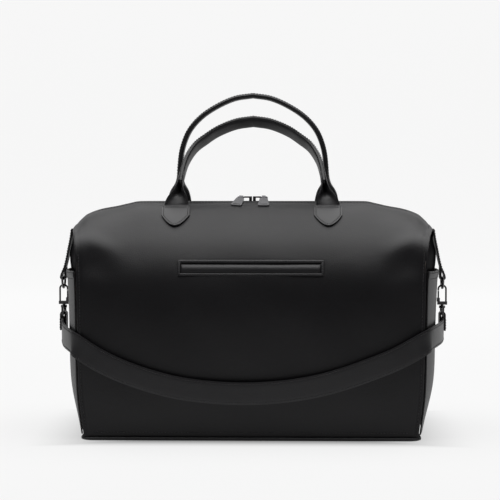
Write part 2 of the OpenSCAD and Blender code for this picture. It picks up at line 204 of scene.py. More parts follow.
def stitches(name, lines, mat, pitch=4.2, length=3.1, r=0.42, sink=0.12):
    V, F = [], []
    for P, Nn in lines:
        Q, T, M = resample(P, Nn, pitch)
        for q, t, n in zip(Q, T, M):
            t = unit(t); n = unit(n - t * np.dot(n, t)); w = np.cross(t, n)
            t = unit(t + 0.07 * w)
            c = q + n * (r - sink)
            base = len(V)
            for (a, rr, dz) in ((-0.5, 0.35, -r * 0.9), (-0.34, 0.9, -0.05), (0, 1.0, 0), (0.34, 0.9, -0.05), (0.5, 0.35, -r * 0.9)):
                for k in range(6):
                    th = k * math.pi / 3
                    V.append(c + t * a * length + n * (dz + rr * r * math.sin(th)) + w * rr * r * math.cos(th))
            for i in range(4):
                for k in range(6):
                    F.append((base + i * 6 + k, base + i * 6 + (k + 1) % 6, base + (i + 1) * 6 + (k + 1) % 6, base + (i + 1) * 6 + k))
            F.append(tuple(base + k for k in range(6))[::-1]); F.append(tuple(base + 24 + k for k in range(6)))
    return obj_from(name, V, F, mat)

# ------------------------------------------------------------------ materials
def nodes_of(m):
    m.use_nodes = True
    return m.node_tree, m.node_tree.nodes["Principled BSDF"] if "Principled BSDF" in m.node_tree.nodes else None

def lk(nt, a, b): nt.links.new(a, b)

def leather(name, base, rough=0.46, grain=900.0, bump=0.22, spec=0.5, wear=0.35):
    m = D.materials.new(name); nt, p = nodes_of(m)
    tc = nt.nodes.new("ShaderNodeTexCoord"); co_ = tc.outputs["Object"]
    # pebbled grain cells plus a finer wrinkle between them
    v = nt.nodes.new("ShaderNodeTexVoronoi"); v.feature = "SMOOTH_F1"; v.inputs["Scale"].default_value = grain; v.inputs["Smoothness"].default_value = 0.6
    w = nt.nodes.new("ShaderNodeTexNoise"); w.inputs["Scale"].default_value = grain * 0.35; w.inputs["Detail"].default_value = 6
    warp = nt.nodes.new("ShaderNodeVectorMath"); warp.operation = "MULTIPLY_ADD"
    lk(nt, co_, w.inputs["Vector"])
    warp.inputs[1].default_value = (0.0012, 0.0012, 0.0012)
    lk(nt, w.outputs["Color"], warp.inputs[0]); lk(nt, co_, warp.inputs[2])
    lk(nt, warp.outputs[0], v.inputs["Vector"])
    b1 = nt.nodes.new("ShaderNodeBump"); b1.inputs["Strength"].default_value = bump; b1.inputs["Distance"].default_value = 0.0005
    lk(nt, v.outputs["Distance"], b1.inputs["Height"])
    b2 = nt.nodes.new("ShaderNodeBump"); b2.inputs["Strength"].default_value = 0.16; b2.inputs["Distance"].default_value = 0.0012
    big = nt.nodes.new("ShaderNodeTexNoise"); big.inputs["Scale"].default_value = 60; big.inputs["Detail"].default_value = 3
    lk(nt, co_, big.inputs["Vector"]); lk(nt, big.outputs["Fac"], b2.inputs["Height"]); lk(nt, b1.outputs["Normal"], b2.inputs["Normal"])
    lk(nt, b2.outputs["Normal"], p.inputs["Normal"])
    # tone and wear
    n3 = nt.nodes.new("ShaderNodeTexNoise"); n3.inputs["Scale"].default_value = 9; n3.inputs["Detail"].default_value = 5; lk(nt, co_, n3.inputs["Vector"])
    r = nt.nodes.new("ShaderNodeValToRGB"); r.color_ramp.elements[0].position = 0.3; r.color_ramp.elements[1].position = 0.72
    r.color_ramp.elements[0].color = (*[c * (1 - 0.35 * wear) for c in base], 1); r.color_ramp.elements[1].color = (*[c * (1 + 0.6 * wear) for c in base], 1)
    lk(nt, n3.outputs["Fac"], r.inputs["Fac"]); lk(nt, r.outputs["Color"], p.inputs["Base Color"])
    mr = nt.nodes.new("ShaderNodeMapRange"); mr.inputs["To Min"].default_value = rough - 0.05; mr.inputs["To Max"].default_value = rough + 0.07
    lk(nt, n3.outputs["Fac"], mr.inputs["Value"]); lk(nt, mr.outputs["Result"], p.inputs["Roughness"])
    p.inputs["Specular IOR Level"].default_value = spec
    return m

def fabric(name, base, scale=1500.0, bump=0.5, rough=0.85):
    m = D.materials.new(name); nt, p = nodes_of(m)
    tc = nt.nodes.new("ShaderNodeTexCoord")
    ws = []
    for d, ph in (("X", 0), ("Z", 1.57)):
        w = nt.nodes.new("ShaderNodeTexWave"); w.wave_type = "BANDS"; w.bands_direction = d
        w.inputs["Scale"].default_value = scale / 6.283 * 2; w.inputs["Phase Offset"].default_value = ph
        w.inputs["Distortion"].default_value = 0.4
        lk(nt, tc.outputs["Object"], w.inputs["Vector"]); ws.append(w)
    mx = nt.nodes.new("ShaderNodeMath"); mx.operation = "MAXIMUM"
    lk(nt, ws[0].outputs["Fac"], mx.inputs[0]); lk(nt, ws[1].outputs["Fac"], mx.inputs[1])
    b = nt.nodes.new("ShaderNodeBump"); b.inputs["Strength"].default_value = bump; b.inputs["Distance"].default_value = 0.0003
    lk(nt, mx.outputs[0], b.inputs["Height"]); lk(nt, b.outputs["Normal"], p.inputs["Normal"])
    r = nt.nodes.new("ShaderNodeValToRGB"); r.color_ramp.elements[0].color = (*[c * 0.6 for c in base], 1); r.color_ramp.elements[1].color = (*base, 1)
    lk(nt, mx.outputs[0], r.inputs["Fac"]); lk(nt, r.outputs["Color"], p.inputs["Base Color"])
    p.inputs["Roughness"].default_value = rough
    return m

def metal(name, base, rough=0.22):
    m = D.materials.new(name); nt, p = nodes_of(m)
    tc = nt.nodes.new("ShaderNodeTexCoord")
    n = nt.nodes.new("ShaderNodeTexNoise"); n.inputs["Scale"].default_value = 350; n.inputs["Detail"].default_value = 5
    lk(nt, tc.outputs["Object"], n.inputs["Vector"])
    mr = nt.nodes.new("ShaderNodeMapRange"); mr.inputs["To Min"].default_value = rough - 0.05; mr.inputs["To Max"].default_value = rough + 0.1
    lk(nt, n.outputs["Fac"], mr.inputs["Value"]); lk(nt, mr.outputs["Result"], p.inputs["Roughness"])
    b = nt.nodes.new("ShaderNodeBump"); b.inputs["Strength"].default_value = 0.05; b.inputs["Distance"].default_value = 0.0002
    lk(nt, n.outputs["Fac"], b.inputs["Height"]); lk(nt, b.outputs["Normal"], p.inputs["Normal"])
    p.inputs["Base Color"].default_value = (*base, 1); p.inputs["Metallic"].default_value = 1.0
    return m

def plain_noise(name, base, rough, scale=120, bump=0.3):
    m = D.materials.new(name); nt, p = nodes_of(m)
    tc = nt.nodes.new("ShaderNodeTexCoord")
    n = nt.nodes.new("ShaderNodeTexNoise"); n.inputs["Scale"].default_value = scale; n.inputs["Detail"].default_value = 7
    lk(nt, tc.outputs["Object"], n.inputs["Vector"])
    b = nt.nodes.new("ShaderNodeBump"); b.inputs["Strength"].default_value = bump; b.inputs["Distance"].default_value = 0.0005
    lk(nt, n.outputs["Fac"], b.inputs["Height"]); lk(nt, b.outputs["Normal"], p.inputs["Normal"])
    r = nt.nodes.new("ShaderNodeValToRGB"); r.color_ramp.elements[0].color = (*[c * 0.7 for c in base], 1); r.color_ramp.elements[1].color = (*[min(1, c * 1.2) for c in base], 1)
    lk(nt, n.outputs["Fac"], r.inputs["Fac"]); lk(nt, r.outputs["Color"], p.inputs["Base Color"])
    p.inputs["Roughness"].default_value = rough
    return m

LEA = leather("leather_body", (0.0056, 0.0052, 0.0062), rough=0.46, spec=0.27)
# lighter copy of the body leather for the strap, handles, pads, tabs and pocket trim; the extra lightness is painted
# light standing for their lit faces
LEA_LIT_TRIM = leather("leather_trim_painted_lighter", (0.0095, 0.0090, 0.0102), rough=0.43, bump=0.18, spec=0.38)
LEAB = leather("leather_bottom", (0.009, 0.009, 0.010), rough=0.6)
EDGE = leather("leather_edge_paint", (0.010, 0.0096, 0.0105), rough=0.36, bump=0.08)
THR = fabric("thread", (0.03, 0.029, 0.031), scale=6000, bump=0.8, rough=0.6)
LIN = fabric("lining_twill", (0.16, 0.13, 0.11))
TAPE = fabric("zip_tape_weave", (0.012, 0.012, 0.013), scale=3000)
MET = metal("gunmetal_polished", (0.10, 0.098, 0.10), 0.2)
METP = metal("gunmetal_puller", (0.16, 0.158, 0.165), 0.27)
METZ = metal("zip_metal", (0.10, 0.10, 0.105), 0.3)
BRD = plain_noise("board_fibre", (0.30, 0.22, 0.14), 0.9)
COR = fabric("core_cord", (0.45, 0.38, 0.28), scale=2500)

# ------------------------------------------------------------------ panels
PK = dict(x0=-92.0, x1=92.0, z0=217.5, z1=231.5)

def relief(x, z, t, back):
    # soft unevenness of the leather, inward positive, mm
    k = 1.7 if back else 0.0
    r = 0.55 * math.sin(x / 47 + 1.3 + k) * math.sin(z / 61 + 0.7) + 0.4 * math.sin(x / 29 - z / 83 + 2.1 + k) + 0.25 * math.sin(x / 17 + z / 23 + k)
    edge = min(1, t / 0.08) * min(1, (1 - t) / 0.06)
    return r * edge

def dome(u, z):
    # extra fullness of the soft top corners, mm outwards
    a = abs(u)
    k = min(1, max(0, (a - 0.70) / 0.24)); k = k * k * (3 - 2 * k)
    c = 257.5 - 14.0 * (1 - k)
    return 4.6 * k * math.exp(-((z - c) / 13.0) ** 2) - 2.4 * k * math.exp(-((z - c + 30) / 16.0) ** 2)

def body_panel(name, node, back=False, nu=150, nv=110):
    sg = -1 if back else 1
    us = [math.copysign(1 - (1 - abs(v)) ** 1.35, v) for v in np.linspace(-1, 1, nu + 1)]
    A = np.zeros((nu + 1, nv + 1, 3)); B = np.zeros_like(A)
    for i, u in enumerate(us):
        for j in range(nv + 1):
            t = j / nv
            x = u * wt(t); z = s2(u, t)[1]
            d = relief(x, z, t, back)
            if not back:
                ix = min(1, max(0, (93.2 - abs(x)) / 2.2)); iz = min(1, max(0, (min(z - 216.4, 232.6 - z)) / 1.6))
                d += 2.4 * ix * iz
            e_ = wt(t) - abs(x)
            d += 0.75 * math.exp(-((e_ - 5.4) / 1.1) ** 2) - 0.35 * math.exp(-((e_ - 2.2) / 1.6) ** 2)
            d += 0.5 * math.exp(-((t - 0.952) / 0.006) ** 2)
            fade = min(1, (1 - abs(u)) / 0.008)
            dm = dome(u, z) * (1.0 if not back else 0.7)
            d = d * (fade if not back else fade)
            A[i, j] = pf(u, t, d * 1.0 - dm); B[i, j] = pf(u, t, (3.0 if d < 2 else 3.4) - dm)
    A[:, :, 1] *= sg; B[:, :, 1] *= sg
    o = slab(name, A, B, [LEA, LIN], bevel=1.35, seg=4, inner_mat=True)
    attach(o, "bag"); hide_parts(node)
    return o

body_panel("front_panel_skin", "front_panel")
body_panel("back_panel_skin", "back_panel", back=True)

def pline(xs_ts, d=0.0, back=False):
    P, M = [], []
    for x, t in xs_ts:
        u = x / wt(t); p = pf(u, t, d); n = n2(u, t)
        nn = np.array([0, -n[0], -n[1]])
        if back: p = p * [1, -1, 1]; nn = nn * [1, -1, 1]
        P.append(p); M.append(nn)
    return np.array(P), np.array(M)

def uline(u, t0, t1, k, off=0.0, back=False):
    return pline([(math.copysign(abs(u) * wt(t) - off, u), t) for t in np.linspace(t0, t1, k)], 0.0, back)

# ---- linings, base, board
def lining(name, node, back):
    sg = -1 if back else 1
    n, m = 60, 40
    A = np.array([[pf(0.955 * math.copysign(1 - (1 - abs(v)) ** 1.35, v), 0.02 + 0.93 * j / m, 7.6) for j in range(m + 1)] for v in np.linspace(-1, 1, n + 1)])
    B = np.array([[pf(0.955 * math.copysign(1 - (1 - abs(v)) ** 1.35, v), 0.02 + 0.93 * j / m, 8.6) for j in range(m + 1)] for v in np.linspace(-1, 1, n + 1)])
    A[:, :, 1] *= sg; B[:, :, 1] *= sg
    o = slab(name, A, B, [LIN], bevel=0)
    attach(o, "bag"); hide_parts(node)

lining("lining_front_cloth", "lining_front", False)
lining("lining_back_cloth", "lining_back", True)

def gs(s, t, dx=0.0):
    g = ge(t)
    r = max(0, 1 - (s / 0.45) ** 2)
    return np.array([wt(t) + cr(GB, t) * (1 - s * s) + cr(GR, t) * r * r - dx, (abs(g[0]) - 0.25) * s, g[1] - 0.05])

def fold(s, t):
    # extra folds of the tucked-in top of the end panel
    k = max(0, (t - 0.5) / 0.5)
    return 3.0 * k * math.sin(3 * math.pi * s) * (1 - s * s) - 2.0 * k * math.cos(math.pi * s * 1.5) * (1 - s * s)

for sg, nm in ((-1, "left"), (1, "right")):
    n, m = 56, 70
    A = np.zeros((n + 1, m + 1, 3)); B = np.zeros_like(A)
    for i in range(n + 1):
        for j in range(m + 1):
            s = 2 * i / n - 1; t = 0.985 * j / m
            A[i, j] = gs(s, t, fold(s, t)); B[i, j] = gs(s, t, fold(s, t) + 2.0)
            g_ = ge(t); nn_ = n2(1.0, t); dm = dome(1.0, g_[1]) * abs(s) ** 6 * 0.85
            for Q_ in (A, B):
                Q_[i, j, 1] += -nn_[0] * dm * (1 if s > 0 else -1); Q_[i, j, 2] += -nn_[1] * dm
    A[:, :, 0] *= sg; B[:, :, 0] *= sg
    o = slab(nm + "_end_panel_skin", A, B, [LEA, LIN], bevel=0.6, inner_mat=True)
    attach(o, "bag"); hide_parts(nm + "_end_panel")
    n, m = 30, 30
    A = np.zeros((n + 1, m + 1, 3)); B = np.zeros_like(A)
    for i in range(n + 1):
        for j in range(m + 1):
            s = 0.9 * (2 * i / n - 1); t = 0.03 + 0.72 * j / m
            A[i, j] = gs(s, t, fold(s, t) + 2.8); B[i, j] = gs(s, t, fold(s, t) + 3.7)
    A[:, :, 0] *= sg; B[:, :, 0] *= sg
    o = slab("lining_" + nm + "_end_cloth", A, B, [LIN], bevel=0)
    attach(o, "bag"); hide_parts("lining_" + nm + "_end")
    # side pocket with a turned top edge
    n, m = 60, 60
    A = np.zeros((n + 1, m + 1, 3)); B = np.zeros_like(A)
    for i in range(n + 1):
        for j in range(m + 1):
            s = 2 * i / n - 1; v = j / m; t = 0.006 + 0.538 * v; g = ge(t)
            x = wt(t) + 0.9 + cr(PB, v) * (1 - abs(s) ** 2.0)
            hem = 0.9 * min(1, max(0, (v - 0.935) / 0.01))
            wv = 0.5 * math.sin(g[1] / 31 + 2 * s) * math.sin(math.pi * v) + 0.35 * math.sin(6 * s + 1)
            y = (abs(g[0]) - 1) * s; z = g[1] - 2.5 * v ** 6 * (1 - s * s)
            A[i, j] = (x + 2.2 + hem + wv * (1 - s * s), y, z); B[i, j] = (x + 0.2 + wv * (1 - s * s), y, z)
    A[:, :, 0] *= sg; B[:, :, 0] *= sg
    o = slab(nm + "_side_pocket_skin", A, B, [LEA, LIN], bevel=0.8, seg=3, inner_mat=True)
    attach(o, "bag"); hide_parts(nm + "_side_pocket")
    lines = []
    for vv in (0.925, 0.985):
        j = int(round(vv * m))
        lines.append((A[1:-1, j] , np.tile([sg, 0, 0], (n - 1, 1))))
    o = stitches(nm + "_side_pocket_stitching", lines, THR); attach(o, "bag")

def outline(o_=0.0, k=24):
    P = []
    for q in range(4):
        for i in range(k + 1):
            t = math.radians(90 * i / k); c, s = math.cos(t), math.sin(t)
            sx = 1 if q in (0, 3) else -1; sy = 1 if q < 2 else -1
            cc, sn = (c, s) if q % 2 == 0 else (s, c)
            P.append((sx * (204 + 16 * cc + o_), sy * (97 + 16 * sn + o_)))
    Q = []
    for p in P:
        if not Q or math.hypot(p[0] - Q[-1][0], p[1] - Q[-1][1]) > 0.01: Q.append(p)
    return np.array(Q)

def plate(name, P, z0, z1, r, mat, node):
    rings = []
    for dz, o_ in ((z0, -r), (z0 + 0.3 * r, -0.3 * r), (z0 + r, 0), (z1 - r, 0), (z1 - 0.3 * r, -0.3 * r), (z1, -r)):
        c = P * (1 + o_ / 220.0)
        rings.append(np.column_stack([c, np.full(len(P), dz)]))
    o = loft(name, rings, mat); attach(o, "bag"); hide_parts(node)
    for p in o.data.polygons:
        if len(p.vertices) > 6: p.use_smooth = False
    return o

plate("base_panel_skin", outline(2.5), 0.0, 4.0, 1.3, LEAB, "base_panel")
plate("base_board_sheet", outline(-11), 4.0, 6.5, 0.4, BRD, "base_board")

# ---- welt pocket
def patch(name, x0, x1, t0, t1, f_out, f_in, mats, node, n=80, m=16, bevel=0.4):
    A = np.array([[px(x0 + (x1 - x0) * i / n, t0 + (t1 - t0) * j / m, f_out(i / n, j / m)) for j in range(m + 1)] for i in range(n + 1)])
    B = np.array([[px(x0 + (x1 - x0) * i / n, t0 + (t1 - t0) * j / m, f_in(i / n, j / m)) for j in range(m + 1)] for i in range(n + 1)])
    o = slab(name, A, B, mats, bevel=bevel)
    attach(o, "bag")
    if node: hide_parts(node)
    return o

def lipf(a, b):
    e = min(1, a / 0.012, (1 - a) / 0.012)
    sag = 0.25 * math.exp(-((a - 0.72) / 0.12) ** 2)
    return -1.9 * (math.sin(math.pi * min(1, b * 1.02)) ** 0.7) * e + 0.9 + sag * b

patch("front_pocket_lip_leather", -91.6, 91.6, tz(218.1), tz(229.6), lipf, lambda a, b: 1.7, [LEA_LIT_TRIM], "front_pocket_lip", n=120, m=20, bevel=0)
patch("front_pocket_pouch_cloth", -98, 98, tz(105), tz(236), lambda a, b: 3.6, lambda a, b: 5.4, [LIN], "front_pocket_pouch", n=40, m=30)

def frame_ring():
    # narrow turned frame round the slit: four conforming strips joined as one piece
    z0, z1, w = 214.2, 234.6, 3.4
    rings = []
    path = []
    def seg(a, b, k):
        for i in range(k): path.append((a[0] + (b[0] - a[0]) * i / k, a[1] + (b[1] - a[1]) * i / k))
    X, Z0, Z1 = 93.3, z0 + w / 2, z1 - w / 2
    seg((-X, Z0), (X, Z0), 90); seg((X, Z0), (X, Z1), 8); seg((X, Z1), (-X, Z1), 90); seg((-X, Z1), (-X, Z0), 8)
    n = len(path); cx, cz = 0.0, (Z0 + Z1) / 2
    for i in range(n):
        x, z = path[i]
        a = np.array(path[i - 1]); b = np.array(path[(i + 1) % n]); d = unit(b - a); nr = np.array([d[1], -d[0]])
        ring = []
        for th in np.linspace(0, 2 * math.pi, 12, endpoint=False):
            ww = w / 2 * math.copysign(abs(math.cos(th)) ** 0.6, math.cos(th)); hh = 0.55 * math.copysign(abs(math.sin(th)) ** 0.7, math.sin(th))
            q = np.array([x, z]) + nr * ww
            t = tz(q[1], q[0] / wt(0.5)); ring.append(px(q[0], t, -0.55 - hh))
        rings.append(np.array(ring))
    K = 12; V = np.concatenate(rings)
    F = [(i * K + k, i * K + (k + 1) % K, ((i + 1) % n) * K + (k + 1) % K, ((i + 1) % n) * K + k) for i in range(n) for k in range(K)]
    o = obj_from("front_pocket_frame_leather", V, F, [LEA_LIT_TRIM]); fix_normals(o)
    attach(o, "bag"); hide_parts("front_pocket_frame")
    L = [pline([(x, tz(z, x / 227)) for x, z in path + path[:1]], -1.05)]
    o = stitches("front_pocket_stitching", L, THR, pitch=3.4, length=2.5, r=0.36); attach(o, "bag")

frame_ring()

# ---- body stitching: end edges, zip edge, base edge
L = []
for back in (False, True):
    for u in (-1, 1):
        L.append(uline(u, 0.03, 0.99, 120, off=4.0, back=back))
    L.append(pline([(x, 0.978) for x in np.linspace(-210, 210, 160)], 0.0, back))
    L.append(pline([(x, tz(10.5, x / 220)) for x in np.linspace(-205, 205, 120)], 0.0, back))
o = stitches("body_stitching", L, THR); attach(o, "bag")

# ---- zip: tapes and interlocking teeth; the stops keep their CAD solids further down
def tape(name, node, sgn):
    xs = np.linspace(-230, 230, 160)
    A = np.array([[(x, sgn * y, crest(x) - 4.1 + 0.1 * math.sin(x * 1.1)) for y in (0.8, 4, 7, 10)] for x in xs])
    B = A - [0, 0, 0.7]
    o = slab(name, A, B, [TAPE], bevel=0.15, seg=1)
    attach(o, "bag"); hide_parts(node)

tape("zip_tape_front_weave", "zip_tape_front", -1)
tape("zip_tape_back_weave", "zip_tape_back", 1)

def teeth(name, node, sgn):
    V, F = [], []
    pitch = 2.6
    xs = np.arange(-228, 228.01, pitch) + (pitch / 2 if sgn > 0 else 0)
    for x in xs:
        zc = crest(x) - 3.1
        sl = math.atan2(crest(x + 1) - crest(x - 1), 2.0); ca, sa = math.cos(sl), math.sin(sl)
        base = len(V)
        prof = [(3.7, 0.55), (1.2, 0.55), (0.55, 0.9), (-0.25, 0.85), (-0.6, 0.3), (-0.6, -0.3), (-0.25, -0.85), (0.55, -0.9), (1.2, -0.55), (3.7, -0.55)]
        for h in (-0.85, 0.85):
            for (y, a) in prof:
                V.append((x + a * ca - h * sa, sgn * (y + 0.15), zc + a * sa + h * ca))
        K = len(prof)
        F.append(tuple(base + k for k in range(K))[::-1]); F.append(tuple(base + K + k for k in range(K)))
        F += [(base + k, base + (k + 1) % K, base + K + (k + 1) % K, base + K + k) for k in range(K)]
    o = obj_from(name, V, F, [METZ], smooth=False); fix_normals(o)
    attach(o, "bag"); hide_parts(node)

teeth("zip_teeth_front_row", "zip_teeth_front", -1)
teeth("zip_teeth_back_row", "zip_teeth_back", 1)

# ---- ring tabs
def arcp(k, n=16):
    a = math.radians(-180 * k / n)
    return [259 + 3.05 * math.cos(a), 206.5 + 3.05 * math.sin(a)]
TPC = [[246, 272.6], [246.6, 268], [248.4, 257], [251, 245], [253.8, 231], [257.2, 218.5], [261, 211]]
TPs = [list(cr(np.array(TPC, float), k / 66)) for k in range(67)]
TPs = TPs + [arcp(k) for k in range(17)] + [[255.9, 214], [256.1, 222]]
TPa = np.array(TPs)
for sg, nm in ((-1, "left"), (1, "right")):
    n = len(TPa); A = np.zeros((n, 13, 3)); B = np.zeros_like(A)
    SL = [[], []]
    for i in range(n):
        a = TPa[max(0, i - 1)]; b = TPa[min(n - 1, i + 1)]; d = unit(b - a); nr = np.array([-d[1], d[0]])
        f = min(1, max(0, (i - 11) / 50)); w = 13 - 2.5 * f
        for j in range(13):
            s = 2 * j / 12 - 1
            crown = 0.35 * (1 - s ** 4)
            qo = TPa[i] + nr * (0.95 + crown - 0.12); qi = TPa[i] - nr * 1.15
            A[i, j] = (sg * qo[0], w * s, qo[1]); B[i, j] = (sg * qi[0], w * s, qi[1])
        if 2 < i < 64:
            for k, s in enumerate((-1, 1)):
                q = TPa[i] + nr * 1.1
                SL[k].append(((sg * q[0], s * (w - 2.4), q[1]), (sg * nr[0], 0, nr[1])))
    o = slab(nm + "_ring_tab_leather", A, B, [LEA_LIT_TRIM], bevel=0.7, seg=3)
    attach(o, "bag"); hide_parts(nm + "_ring_tab")
    lines = [(np.array([p for p, _ in s]), np.array([q for _, q in s])) for s in SL]
    # cross stitches above the ring
    q = TPa[58]; nr = unit([-(TPa[60] - TPa[56])[1], (TPa[60] - TPa[56])[0]]); q = q + nr * 1.1
    ys = np.linspace(-8.2, 8.2, 9)
    lines.append((np.array([(sg * q[0], y, q[1]) for y in ys]), np.tile([sg * nr[0], 0, nr[1]], (9, 1))))
    o = stitches(nm + "_ring_tab_stitching", lines, THR, pitch=3.6, length=2.6, r=0.38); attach(o, "bag")

# ---- shoulder strap
SPL = [
 [-259,0.5,151,180],[-259,-1.5,143.5,180],[-259,-7.5,136.6,180],[-258,-17,133,182],[-255,-34,131.6,190],[-251.5,-52,131,194],[-247,-70,130.4,198],
 [-241.5,-88,129.6,202],[-236,-103,128.6,208],[-230,-114.5,126.4,232],[-220,-121,120,258],[-205,-123.4,110.6,268],[-185,-125,100,270],[-160,-126,89.4,270],
 [-130,-127,79.4,270],[-94,-128,70.6,270],[-57,-128,65.6,270],[-20,-128,63.4,270],[16,-128,64,270],[52,-128,67.4,270],[88,-127.6,73.8,270],
 [125,-127,84.2,270],[160,-126,96.8,270],[184,-125,106.4,270],[204,-123.4,116.4,272],[220,-121,125.4,282],[230,-114.5,130.6,308],
 [236,-103,133,332],[241.5,-88,134,338],[247,-70,134.6,342],[251.5,-52,134.8,346],[255,-34,134.8,350],[258,-17,135.4,358],[259,-7.5,138,360],[259,-1.5,144,360],[259,0.5,151,360]]
SPa = np.array(SPL, float)
sn = 420
def sf(i):
    p = cr(SPa, i / sn); a = cr(SPa, max(0, i - 2) / sn); b = cr(SPa, min(sn, i + 2) / sn)
    T = unit((b - a)[:3]); N0 = np.array([math.cos(math.radians(p[3])), math.sin(math.radians(p[3])), 0])
    W = unit(np.cross(N0, T)); Nn = np.cross(T, W)
    return p[:3], Nn, W
FR = [sf(i) for i in range(sn + 1)]
A = np.zeros((sn + 1, 15, 3)); B = np.zeros_like(A)
SW, ST = 29.0, 3.2
sl = [[], []]
for i, (p, nn, w) in enumerate(FR):
    for j in range(15):
        s = 2 * j / 14 - 1
        crown = 0.28 * (1 - abs(s) ** 6) - 0.28
        wave = 0.22 * math.sin(i / 19.0 + s)
        groove = -0.28 * math.exp(-((abs(s) - 0.83) / 0.035) ** 2)
        A[i, j] = p + nn * (ST / 2 + crown + groove + wave * 0.5) + w * s * SW / 2
        B[i, j] = p - nn * (ST / 2 - 0.05) + w * s * SW / 2
    if 18 < i < sn - 18:
        for k, s in enumerate((-1, 1)):
            sl[k].append((p + nn * (ST / 2 - 0.12) + w * s * (SW / 2 - 2.4), nn))
o = slab("shoulder_strap_leather", A, B, [LEA_LIT_TRIM], bevel=0.55, seg=2)
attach(o, "strap"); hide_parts("shoulder_strap")
o = stitches("shoulder_strap_stitching", [(np.array([a for a, _ in s]), np.array([b for _, b in s])) for s in sl], THR, pitch=4.0, length=2.9, r=0.36)
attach(o, "strap")

# folded strap ends: smooth loop round the eye bar
for sg, nm in ((-1, "left"), (1, "right")):
    path = [[-3.15, -22]] + [[-3.15, z] for z in np.linspace(-18, -2, 7)] + [[3.15 * -math.cos(a), 3.15 * math.sin(a)] for a in np.linspace(0, math.pi, 15)] + [[3.15, z] for z in np.linspace(-2, -18, 7)] + [[3.15, -22]]
    P = np.array(path); n = len(P); A = np.zeros((n, 9, 3)); B = np.zeros_like(A)
    for i in range(n):
        a = P[max(0, i - 1)]; b = P[min(n - 1, i + 1)]; d = unit(b - a); nr = np.array([-d[1], d[0]])
        for j in range(9):
            s = 2 * j / 8 - 1; w = 11.5 - (1.6 if P[i][1] > 0.5 else 0)
            qo = P[i] + nr * (1.15 - 0.2 * s ** 4); qi = P[i] - nr * 1.1
            A[i, j] = (sg * (259 + qo[0]), w * s, 155.8 + qo[1]); B[i, j] = (sg * (259 + qi[0]), w * s, 155.8 + qi[1])
    o = slab(nm + "_strap_end_leather", A, B, [LEA_LIT_TRIM], bevel=0.6, seg=2)
    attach(o, "strap"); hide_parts(nm + "_strap_end")
    x = sg * (259 + 4.3)
    lines = [(np.array([(x, y, z) for z in np.linspace(150, 136, 8)]), np.tile([sg, 0, 0], (8, 1))) for y in (-9, 9)]
    lines += [(np.array([(x, y, z) for y in np.linspace(-8, 8, 8)]), np.tile([sg, 0, 0], (8, 1))) for z in (149.5, 136.2)]
    o = stitches(nm + "_strap_end_stitching", lines, THR, pitch=3.2, length=2.3, r=0.36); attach(o, "strap")

# ---- handles
HB = np.array([[102, 0], [102, 12], [101.5, 28], [100.5, 50], [97, 74], [88, 97], [72, 116], [50, 131], [25, 142], [0, 146]], float)
HF = np.array([[102, 0], [99.5, 14], [97.5, 30], [94.5, 54], [89.5, 76], [79, 98], [65, 113], [48, 128], [24, 141], [0, 146]], float)
hwS = smooth_tab([0, 3, 5, 7, 10, 22], [8.2, 8.2, 8.9, 9.8, 10.3, 10.3])

